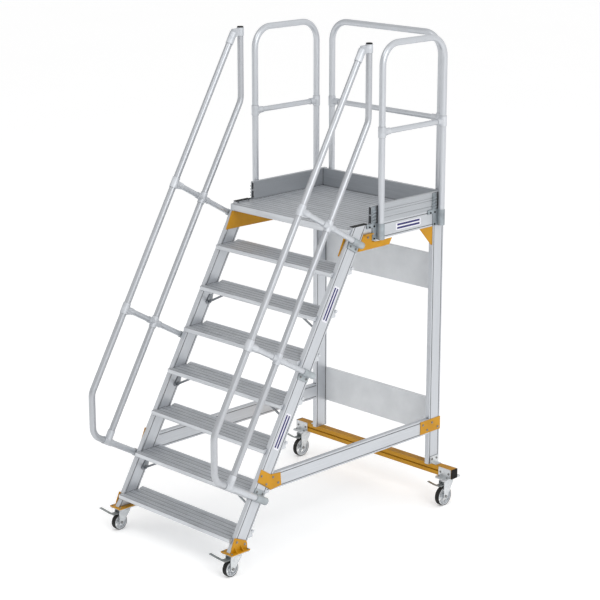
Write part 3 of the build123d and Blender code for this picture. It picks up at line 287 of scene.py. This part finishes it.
ALU_LIGHT = (0.59, 0.61, 0.64)
ALU_DARK = (0.49, 0.51, 0.54)
TUBE_LIGHT = (0.50, 0.515, 0.54)
TUBE_DARK = (0.40, 0.415, 0.44)
TREAD_LIGHT = (0.70, 0.72, 0.75)
TREAD_DARK = (0.52, 0.54, 0.565)
# dark colour of the grooves between tread ridges: painted shade with dust
TREAD_GROOVE_SHADE_AND_DUST = (0.22, 0.23, 0.245)
BOARD_LIGHT = (0.48, 0.50, 0.525)
BOARD_DARK = (0.37, 0.39, 0.415)

rail_slope = drawn_metal("rail_on_slope", ALU_LIGHT, ALU_DARK, ALONG_SLOPE)
rail_x = drawn_metal("rail_along_x", ALU_LIGHT, ALU_DARK, ALONG_X)
rail_y = drawn_metal("rail_along_y", ALU_LIGHT, ALU_DARK, ALONG_Y)
rail_z = drawn_metal("rail_upright", ALU_LIGHT, ALU_DARK, ALONG_Z)
tube_slope = drawn_metal("tube_on_slope", TUBE_LIGHT, TUBE_DARK, ALONG_SLOPE)
tread_metal = ridged_metal("tread_aluminium", TREAD_LIGHT, TREAD_DARK, TREAD_GROOVE_SHADE_AND_DUST)
board_x = drawn_metal("board_along_x", BOARD_LIGHT, BOARD_DARK, ALONG_X)
board_y = drawn_metal("board_along_y", BOARD_LIGHT, BOARD_DARK, ALONG_Y)
casting = cast_metal("tumbled_casting", (0.60, 0.62, 0.65), (0.50, 0.52, 0.55))
clamp_casting = cast_metal("clamp_casting", (0.42, 0.46, 0.48), (0.34, 0.37, 0.39))
dark_casting = cast_metal("dark_casting", (0.36, 0.40, 0.43), (0.26, 0.29, 0.31))
bracket_zinc = zinc_metal("bracket_zinc", (0.30, 0.32, 0.34), (0.20, 0.21, 0.23))
hub_metal = cast_metal("wheel_hub_casting", (0.66, 0.68, 0.70), (0.54, 0.56, 0.58))
zinc = zinc_metal("zinc_plate", (0.70, 0.72, 0.73), (0.52, 0.54, 0.56))
pedal_zinc = zinc_metal("pedal_zinc", (0.36, 0.38, 0.38), (0.23, 0.25, 0.25))
bolt_zinc = zinc_metal("bolt_zinc", (0.30, 0.30, 0.30), (0.19, 0.19, 0.19))
yellow = powder_coat("yellow_powder_coat", (0.54, 0.258, 0.003), (0.46, 0.214, 0.002),
                     (0.58, 0.38, 0.12))
panel_coat = powder_coat("grey_panel_coat", (0.70, 0.72, 0.74), (0.64, 0.66, 0.68),
                         (0.80, 0.81, 0.82))
black_plastic = moulded("black_plastic", (0.010, 0.010, 0.009), (0.004, 0.004, 0.004))
label_white = moulded("label_film", (0.78, 0.78, 0.82), (0.70, 0.70, 0.75), (0.35, 0.45), 0.003, 0.1)
label_ink = moulded("label_ink", (0.055, 0.050, 0.17), (0.040, 0.038, 0.13), (0.35, 0.45), 0.003, 0.1)
rubber = moulded("tyre_rubber", (0.050, 0.049, 0.047), (0.022, 0.022, 0.022), (0.6, 0.8), 0.002, 0.4)

node_materials = {
    "stringer_right": rail_slope, "stringer_left": rail_slope,
    "support_angles": bracket_zinc, "deck_planks": tread_metal,
    "side_rails": rail_y, "rear_cross_rail": rail_x,
    "toe_board_right": board_y, "toe_board_left": board_y, "toe_board_rear": board_x,
    "guard_right": rail_z, "guard_left": rail_z, "guard_rear": rail_z, "guard_mid_rails": rail_y,
    "guard_connectors": casting, "post_holders": dark_casting,
    "handrail_right": tube_slope, "handrail_left": tube_slope,
    "knee_rail_right": tube_slope, "knee_rail_left": tube_slope,
    "handrail_stubs": rail_z, "handrail_connectors": casting, "rail_clamps": clamp_casting,
    "rear_leg_right": rail_z, "rear_leg_left": rail_z, "braces": rail_y,
    "base_beam": yellow, "rear_panels": panel_coat, "gusset_plates": yellow,
    "front_caster_brackets": yellow, "base_clamps": zinc, "caster_plates": zinc,
    "frame_bolts": bolt_zinc, "end_caps": black_plastic,
}
for number in range(1, 8):
    node_materials[f"step_{number}"] = tread_metal
for corner in CORNERS:
    node_materials[f"caster_fork_{corner}"] = zinc
    node_materials[f"caster_axle_{corner}"] = bolt_zinc
    node_materials[f"wheel_hub_{corner}"] = hub_metal
    node_materials[f"tyre_{corner}"] = rubber
    node_materials[f"brake_pedal_{corner}"] = pedal_zinc
for node_name, material in node_materials.items():
    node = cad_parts[node_name]
    node.data.materials.clear()
    node.data.materials.append(material)

# ---------------------------------------------------------------- mesh helpers
WELD = 1e-6               # points closer than this are one point


def new_piece(name, shape, material, body, replaces=()):
    """Object made of a bmesh, with one material, that rides on a body."""
    bmesh.ops.recalc_face_normals(shape, faces=shape.faces)
    data = bpy.data.meshes.new(name)
    shape.to_mesh(data)
    shape.free()
    data.materials.append(material)
    piece = bpy.data.objects.new(name, data)
    scene.collection.objects.link(piece)
    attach(piece, body)
    if replaces:
        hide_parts(*replaces)
    return piece


def smooth(piece, angle_deg=35):
    """Smooth shading, with edges sharper than the angle kept."""
    for face in piece.data.polygons:
        face.use_smooth = True
    piece.data.set_sharp_from_angle(angle=math.radians(angle_deg))


def lathe(shape, profile, place, axis, sides=48):
    """Adds a solid of revolution. The profile is a closed loop of (distance along the axis, radius)."""
    turn = axis.to_track_quat("Z", "X")
    rings = []
    for side in range(sides):
        angle = 2 * math.pi * side / sides
        across, sideways = math.cos(angle), math.sin(angle)
        rings.append([
            shape.verts.new(place + turn @ Vector((reach * across, reach * sideways, along)))
            for along, reach in profile
        ])
    made = [vert for ring in rings for vert in ring]
    for side, ring in enumerate(rings):
        following = rings[(side + 1) % sides]
        for point in range(len(profile)):
            after = (point + 1) % len(profile)
            if profile[point][1] < WELD and profile[after][1] < WELD:
                continue
            shape.faces.new((ring[point], following[point], following[after], ring[after]))
    bmesh.ops.remove_doubles(shape, verts=made, dist=WELD)


def arc(centre, radius, start_deg, end_deg, steps=5):
    """Points of an arc, as (along, radius) pairs of a profile."""
    points = []
    for step in range(steps + 1):
        angle = math.radians(start_deg + (end_deg - start_deg) * step / steps)
        points.append((centre[0] + radius * math.cos(angle), centre[1] + radius * math.sin(angle)))
    return points


def solids(node_name):
    """Corner points of each separate solid of a CAD node."""
    shape = bmesh.new()
    shape.from_mesh(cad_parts[node_name].data)
    bmesh.ops.remove_doubles(shape, verts=shape.verts, dist=WELD)
    left = set(shape.verts)
    found = []
    while left:
        front = [left.pop()]
        members = []
        while front:
            vert = front.pop()
            members.append(vert.co.copy())
            for edge in vert.link_edges:
                other = edge.other_vert(vert)
                if other in left:
                    left.remove(other)
                    front.append(other)
        found.append(members)
    shape.free()
    return sorted(found, key=lambda points: tuple(round(c, 4) for c in points_middle(points)))


def points_middle(points):
    low = Vector([min(p[axis] for p in points) for axis in range(3)])
    high = Vector([max(p[axis] for p in points) for axis in range(3)])
    return (low + high) / 2


def soften(node_name, width):
    """Rounded edges on a CAD node, by modifiers only."""
    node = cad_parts[node_name]
    weld = node.modifiers.new("weld", "WELD")
    weld.merge_threshold = 1e-5
    flat = node.modifiers.new("flat", "DECIMATE")
    flat.decimate_type = "DISSOLVE"
    flat.angle_limit = math.radians(0.5)
    rounded = node.modifiers.new("rounded", "BEVEL")
    rounded.width = width
    rounded.segments = 2
    rounded.limit_method = "ANGLE"
    rounded.angle_limit = math.radians(40)
    rounded.use_clamp_overlap = True


# ---------------------------------------------------------------- tyres
RIM_PLAY = 0.0001
SHOULDER = 0.0022         # radius between tread and side wall
CROWN_FALL = 0.0006       # from the middle of the tread to its shoulders
WALL_FALL = 0.0010        # from the middle of the tread to the top of the side wall
BEAD_WIDTH, BEAD_HEIGHT = 0.0006, 0.0008      # bevel beside the rim
GROOVE_HALF, GROOVE_DEPTH, GROOVE_AT = 0.0009, 0.0014, 0.0055

for corner in CORNERS:
    low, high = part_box(f"tyre_{corner}")
    middle = (Vector(low) + Vector(high)) / 2
    outer = (high[2] - low[2]) / 2
    half = (high[0] - low[0]) / 2
    hub_low, hub_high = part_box(f"wheel_hub_{corner}")
    rim = (hub_high[2] - hub_low[2]) / 2 + RIM_PLAY
    wall_top = outer - WALL_FALL - SHOULDER
    shoulder_level = outer - CROWN_FALL - SHOULDER
    tread = [(-half + BEAD_WIDTH, rim), (-half, rim + BEAD_HEIGHT), (-half, wall_top)]
    tread += arc((-half + SHOULDER, shoulder_level), SHOULDER, 180, 95)
    for groove_x in (-GROOVE_AT, GROOVE_AT):
        crown = outer - CROWN_FALL * abs(groove_x) / half
        tread += [(groove_x - GROOVE_HALF, crown), (groove_x - 0.6 * GROOVE_HALF, crown - GROOVE_DEPTH),
                  (groove_x + 0.6 * GROOVE_HALF, crown - GROOVE_DEPTH), (groove_x + GROOVE_HALF, crown)]
        if groove_x < 0:
            tread.append((0, outer))
    tread += arc((half - SHOULDER, shoulder_level), SHOULDER, 85, 0)
    tread += [(half, wall_top), (half, rim + BEAD_HEIGHT), (half - BEAD_WIDTH, rim)]
    shape = bmesh.new()
    lathe(shape, tread, middle, Vector((1, 0, 0)), 72)
    smooth(new_piece(f"rubber_tyre_{corner}", shape, rubber, f"wheel_{corner}",
                     [f"tyre_{corner}"]))

    # bearing shields on both ends of the hub's boss, inside the fork
    boss_half = (hub_high[0] - hub_low[0]) / 2
    shape = bmesh.new()
    for side in (-1, 1):
        face = middle + Vector((side * boss_half, 0, 0))
        shield = [(0, 0.0066), (0, 0.0128), (0.0006, 0.0134), (0.0010, 0.0128), (0.0008, 0.0100),
                  (0.0011, 0.0082), (0.0009, 0.0066)]
        lathe(shape, shield, face, Vector((side, 0, 0)), 36)
    smooth(new_piece(f"bearing_shields_{corner}", shape, black_plastic, f"wheel_{corner}"))

# ---------------------------------------------------------------- bolts
HEX_SIDES = 6
SLOT_BOLT_LIMIT = 0.0026  # shank radius; thinner ones are the holders' slot bolts
WASHER_RADIUS, WASHER_THICK = 0.0078, 0.0012
SAME_LEVEL = 1e-5


def end_points(points, direction):
    """Points of a solid that lie furthest in a direction."""
    reach = max(p.dot(direction) for p in points)
    return [p for p in points if abs(p.dot(direction) - reach) < SAME_LEVEL]


def hexagon_ends(points):
    """Directions, along the three axes, in which a solid ends in a hexagon."""
    ends = []
    for axis in range(3):
        for sign in (-1, 1):
            direction = Vector([sign if k == axis else 0 for k in range(3)])
            at_end = {tuple(round(c, 5) for c in p) for p in end_points(points, direction)}
            centre = points_middle(at_end)
            spread = [(Vector(p) - centre).length for p in at_end]
            if len(at_end) == HEX_SIDES and max(spread) - min(spread) < 0.0002:
                ends.append(direction)
    return ends


def add_bolt(shape, points, outward):
    """Chamfered hexagon head with a washer under it and its shank behind."""
    reaches = [p.dot(outward) for p in points]
    tip, top = min(reaches), max(reaches)
    head = end_points(points, outward)
    centre = points_middle(head)
    radius = (head[0] - centre).length
    base = min(r for r, p in zip(reaches, points)
               if (p - centre - outward * (r - top)).length > 0.97 * radius)
    foot = centre + outward * (base - top)
    height = top - base
    washer = [(0, 0), (0, WASHER_RADIUS - 0.0002), (0.0003, WASHER_RADIUS),
              (WASHER_THICK - 0.0003, WASHER_RADIUS), (WASHER_THICK, WASHER_RADIUS - 0.0003),
              (WASHER_THICK, 0)]
    lathe(shape, washer, foot, outward, 28)
    hexagon = [(WASHER_THICK, 0), (WASHER_THICK, radius), (height - 0.0011, radius),
               (height, 0.84 * radius), (height, 0.5 * radius), (height - 0.0005, 0.44 * radius),
               (height - 0.0005, 0)]
    lathe(shape, hexagon, foot, outward, HEX_SIDES)
    shank = [(0, 0), (0, 0.53 * radius), (tip - base + 0.0005, 0.53 * radius),
             (tip - base, 0.46 * radius), (tip - base, 0)]
    lathe(shape, shank, foot, outward, 20)


def add_nut(shape, points, outward):
    """Hexagon nut, chamfered on both faces."""
    centre = points_middle(points)
    top = max(p.dot(outward) for p in points)
    radius = max((p - centre - outward * (p - centre).dot(outward)).length for p in points)
    half = top - centre.dot(outward)
    nut = [(-half, 0), (-half, 0.86 * radius), (-half + 0.0009, radius), (half - 0.0009, radius),
           (half, 0.86 * radius), (half, 0)]
    lathe(shape, nut, centre, outward, HEX_SIDES)


def add_knob(shape, points, outward):
    """Round black screw cap with a domed top, on a slot bolt."""
    top = max(p.dot(outward) for p in points)
    tip = min(p.dot(outward) for p in points)
    head = end_points(points, outward)
    centre = points_middle(head)
    radius = (head[0] - centre).length
    height, dome = 0.0055, 0.0028
    foot = centre - outward * height
    cap = [(0, 0), (0, radius)] + arc((height - dome, radius - dome), dome, 90, 0)
    lathe(shape, cap + [(height, 0)], foot, outward, 24)
    pin = [(0, 0), (0, 0.5 * radius), (tip - top + height, 0.5 * radius), (tip - top + height, 0)]
    lathe(shape, pin, foot, outward, 16)


def shank_radius(points, outward):
    """Radius of the round end of a bolt's shank."""
    end = end_points(points, -outward)
    return (end[0] - points_middle(end)).length


bolt_shape, knob_shape = bmesh.new(), bmesh.new()
for points in solids("frame_bolts"):
    ends = hexagon_ends(points)
    if len(ends) == 2:
        add_nut(bolt_shape, points, ends[1])
    elif shank_radius(points, ends[0]) < SLOT_BOLT_LIMIT:
        add_knob(knob_shape, points, ends[0])
    else:
        add_bolt(bolt_shape, points, ends[0])
smooth(new_piece("hexagon_bolts", bolt_shape, bolt_zinc, "frame", ["frame_bolts"]), 30)
smooth(new_piece("holder_screw_caps", knob_shape, black_plastic, "frame"), 50)

# ---------------------------------------------------------------- swivel seals
CROWN_RADIUS = 0.036
SEAL_RING, SEAL_BEAD = 0.0345, 0.0016         # radius of the ring, and of its round section
PLATE_LIFT = 0.0115       # caster plate's underside above the fork's crown
SEAL_DROP = 0.0035        # ring below the plate's underside

shape = bmesh.new()
for corner in CORNERS:
    fork_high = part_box(f"caster_fork_{corner}")[1]
    axle_low, axle_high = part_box(f"caster_axle_{corner}")
    pivot = Vector(((axle_low[0] + axle_high[0]) / 2, fork_high[1] - CROWN_RADIUS,
                    fork_high[2] + PLATE_LIFT))
    seal = arc((-SEAL_DROP, SEAL_RING), SEAL_BEAD, 0, 360, 12)[:-1]
    lathe(shape, seal, pivot, Vector((0, 0, 1)), 48)
smooth(new_piece("swivel_seals", shape, rubber, "frame"), 60)

# ---------------------------------------------------------------- plain labels
LABEL_LENGTH, LABEL_WIDTH = 0.226, 0.046
FILM_THICK = 0.0004
INK_THICK = 0.0002
STRIPE_WIDTH = 0.0125
STRIPE_SHARE = 0.90       # of the label's length
STRIPE_OFFSETS = (0.011, -0.010)
LABEL_DROPS = (1.331, 0.528)      # down the stringer from its top rear corner
LABEL_IN = 0.050          # from the stringer's rear edge
RAIL_LABEL_Y = 0.651
RAIL_LABEL_LIFT = 0.001   # above the middle of the side rail

stringer_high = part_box("stringer_right")[1]
rail_low, rail_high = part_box("side_rails")
along = Vector((0, math.cos(SLOPE), math.sin(SLOPE)))
out = Vector((0, -math.sin(SLOPE), math.cos(SLOPE)))


def add_plate(shape, centre, length_way, width_way, length, width, lift, thick):
    """Thin rectangle with clipped corners, lying on a face that looks towards +X."""
    clip = min(length, width) * 0.12
    half_length, half_width = length / 2, width / 2
    corners = [(-half_length + clip, -half_width), (half_length - clip, -half_width),
               (half_length, -half_width + clip), (half_length, half_width - clip),
               (half_length - clip, half_width), (-half_length + clip, half_width),
               (-half_length, half_width - clip), (-half_length, -half_width + clip)]
    facing = Vector((1, 0, 0))
    layers = [
        [shape.verts.new(centre + length_way * u + width_way * v + facing * height) for u, v in corners]
        for height in (lift, lift + thick)
    ]
    shape.faces.new(layers[0][::-1])
    shape.faces.new(layers[1])
    for index in range(len(corners)):
        after = (index + 1) % len(corners)
        shape.faces.new((layers[0][index], layers[0][after], layers[1][after], layers[1][index]))


film_shape, ink_shape = bmesh.new(), bmesh.new()
rail_middle_z = (rail_low[2] + rail_high[2]) / 2
label_places = [(Vector(stringer_high) - along * drop + out * LABEL_IN, along, out) for drop in LABEL_DROPS]
label_places.append((Vector((rail_high[0], RAIL_LABEL_Y, rail_middle_z + RAIL_LABEL_LIFT)),
                     Vector((0, 1, 0)), Vector((0, 0, 1))))
for centre, length_way, width_way in label_places:
    add_plate(film_shape, centre, length_way, width_way, LABEL_LENGTH, LABEL_WIDTH, 0.0, FILM_THICK)
    for offset in STRIPE_OFFSETS:
        add_plate(ink_shape, centre + width_way * offset, length_way, width_way,
                  LABEL_LENGTH * STRIPE_SHARE, STRIPE_WIDTH, FILM_THICK, INK_THICK)
new_piece("label_films", film_shape, label_white, "frame")
new_piece("label_stripes", ink_shape, label_ink, "frame")

# ---------------------------------------------------------------- rounded edges on the CAD nodes
soften("end_caps", 0.0015)
soften("gusset_plates", 0.0005)
soften("front_caster_brackets", 0.0008)
soften("base_clamps", 0.0008)

# ---------------------------------------------------------------- floor, light, camera
FLOOR_HALF = 60
FLOOR_GLOW = 0.22
floor_mesh = bmesh.new()
bmesh.ops.create_grid(floor_mesh, x_segments=2, y_segments=2, size=FLOOR_HALF)
floor_data = bpy.data.meshes.new("floor")
floor_mesh.to_mesh(floor_data)
floor_mesh.free()
floor = bpy.data.objects.new("floor", floor_data)
scene.collection.objects.link(floor)
floor_paint, floor_tree, floor_shader = new_shader("pale_floor", Roughness=0.9,
                                                   Emission_Strength=FLOOR_GLOW)
floor_shader.inputs["Emission Color"].default_value = (1, 1, 1, 1)
floor_tone = noise(floor_tree, object_coords(floor_tree), 0.6, 2.0)
floor_tree.links.new(blend_colours(floor_tree, floor_tone, (0.95, 0.95, 0.95), (0.97, 0.97, 0.97)),
                     floor_shader.inputs["Base Color"])
floor_data.materials.append(floor_paint)

SKY_BRIGHT_SIDE = (0.80, 0.55, 0.25)
SKY_DIM, SKY_BRIGHT = 0.52, 1.0
world = bpy.data.worlds.new("studio")
scene.world = world
world.use_nodes = True
sky = world.node_tree
sky_coords = add_node(sky, "ShaderNodeTexCoord")
sky_side = add_node(sky, "ShaderNodeVectorMath", {0: sky_coords.outputs["Generated"]},
                    operation="DOT_PRODUCT")
sky_side.inputs[1].default_value = SKY_BRIGHT_SIDE
sky_level = ranged(sky, sky_side.outputs["Value"], -0.9, 0.9, SKY_DIM, SKY_BRIGHT)
sky.links.new(sky_level, sky.nodes["Background"].inputs["Strength"])
sky.nodes["Background"].inputs["Color"].default_value = (1, 1, 1, 1)

centre = (cad_low + cad_high) / 2


def softbox(name, place, aim, size, power):
    """Square area light at a place relative to the object's centre."""
    data = bpy.data.lights.new(name, "AREA")
    data.shape = "SQUARE"
    data.size = size
    data.energy = power
    lamp = bpy.data.objects.new(name, data)
    lamp.location = centre + Vector(place)
    lamp.rotation_euler = (centre + Vector(aim) - lamp.location).to_track_quat("-Z", "Y").to_euler()
    scene.collection.objects.link(lamp)


softbox("key", (6.5, -1.2, 3.6), (0, 0, 0), 3.5, 150)
softbox("fill", (-4.5, -5.0, 2.5), (0, 0, -0.3), 4.0, 25)
softbox("front", (0.3, -3.2, 5.6), (0, 0, 0), 3.0, 60)

LENS, SENSOR = 111.35, 36
CAMERA_AZIMUTH, CAMERA_ELEVATION = math.radians(45.13), math.radians(15.454)
CAMERA_DISTANCE = 11.336
AIM_SHIFT = (0.1382, 0.1099, -0.0942)         # from the middle of the object
camera_data = bpy.data.cameras.new("camera")
camera_data.lens = LENS
camera_data.sensor_width = SENSOR
camera_data.clip_end = 200
camera = bpy.data.objects.new("camera", camera_data)
back = Vector((math.sin(CAMERA_AZIMUTH) * math.cos(CAMERA_ELEVATION),
               -math.cos(CAMERA_AZIMUTH) * math.cos(CAMERA_ELEVATION),
               math.sin(CAMERA_ELEVATION)))
camera.location = centre + Vector(AIM_SHIFT) + back * CAMERA_DISTANCE
camera.rotation_euler = (-back).to_track_quat("-Z", "Y").to_euler()
scene.collection.objects.link(camera)
scene.camera = camera
scene.view_settings.view_transform = "Standard"
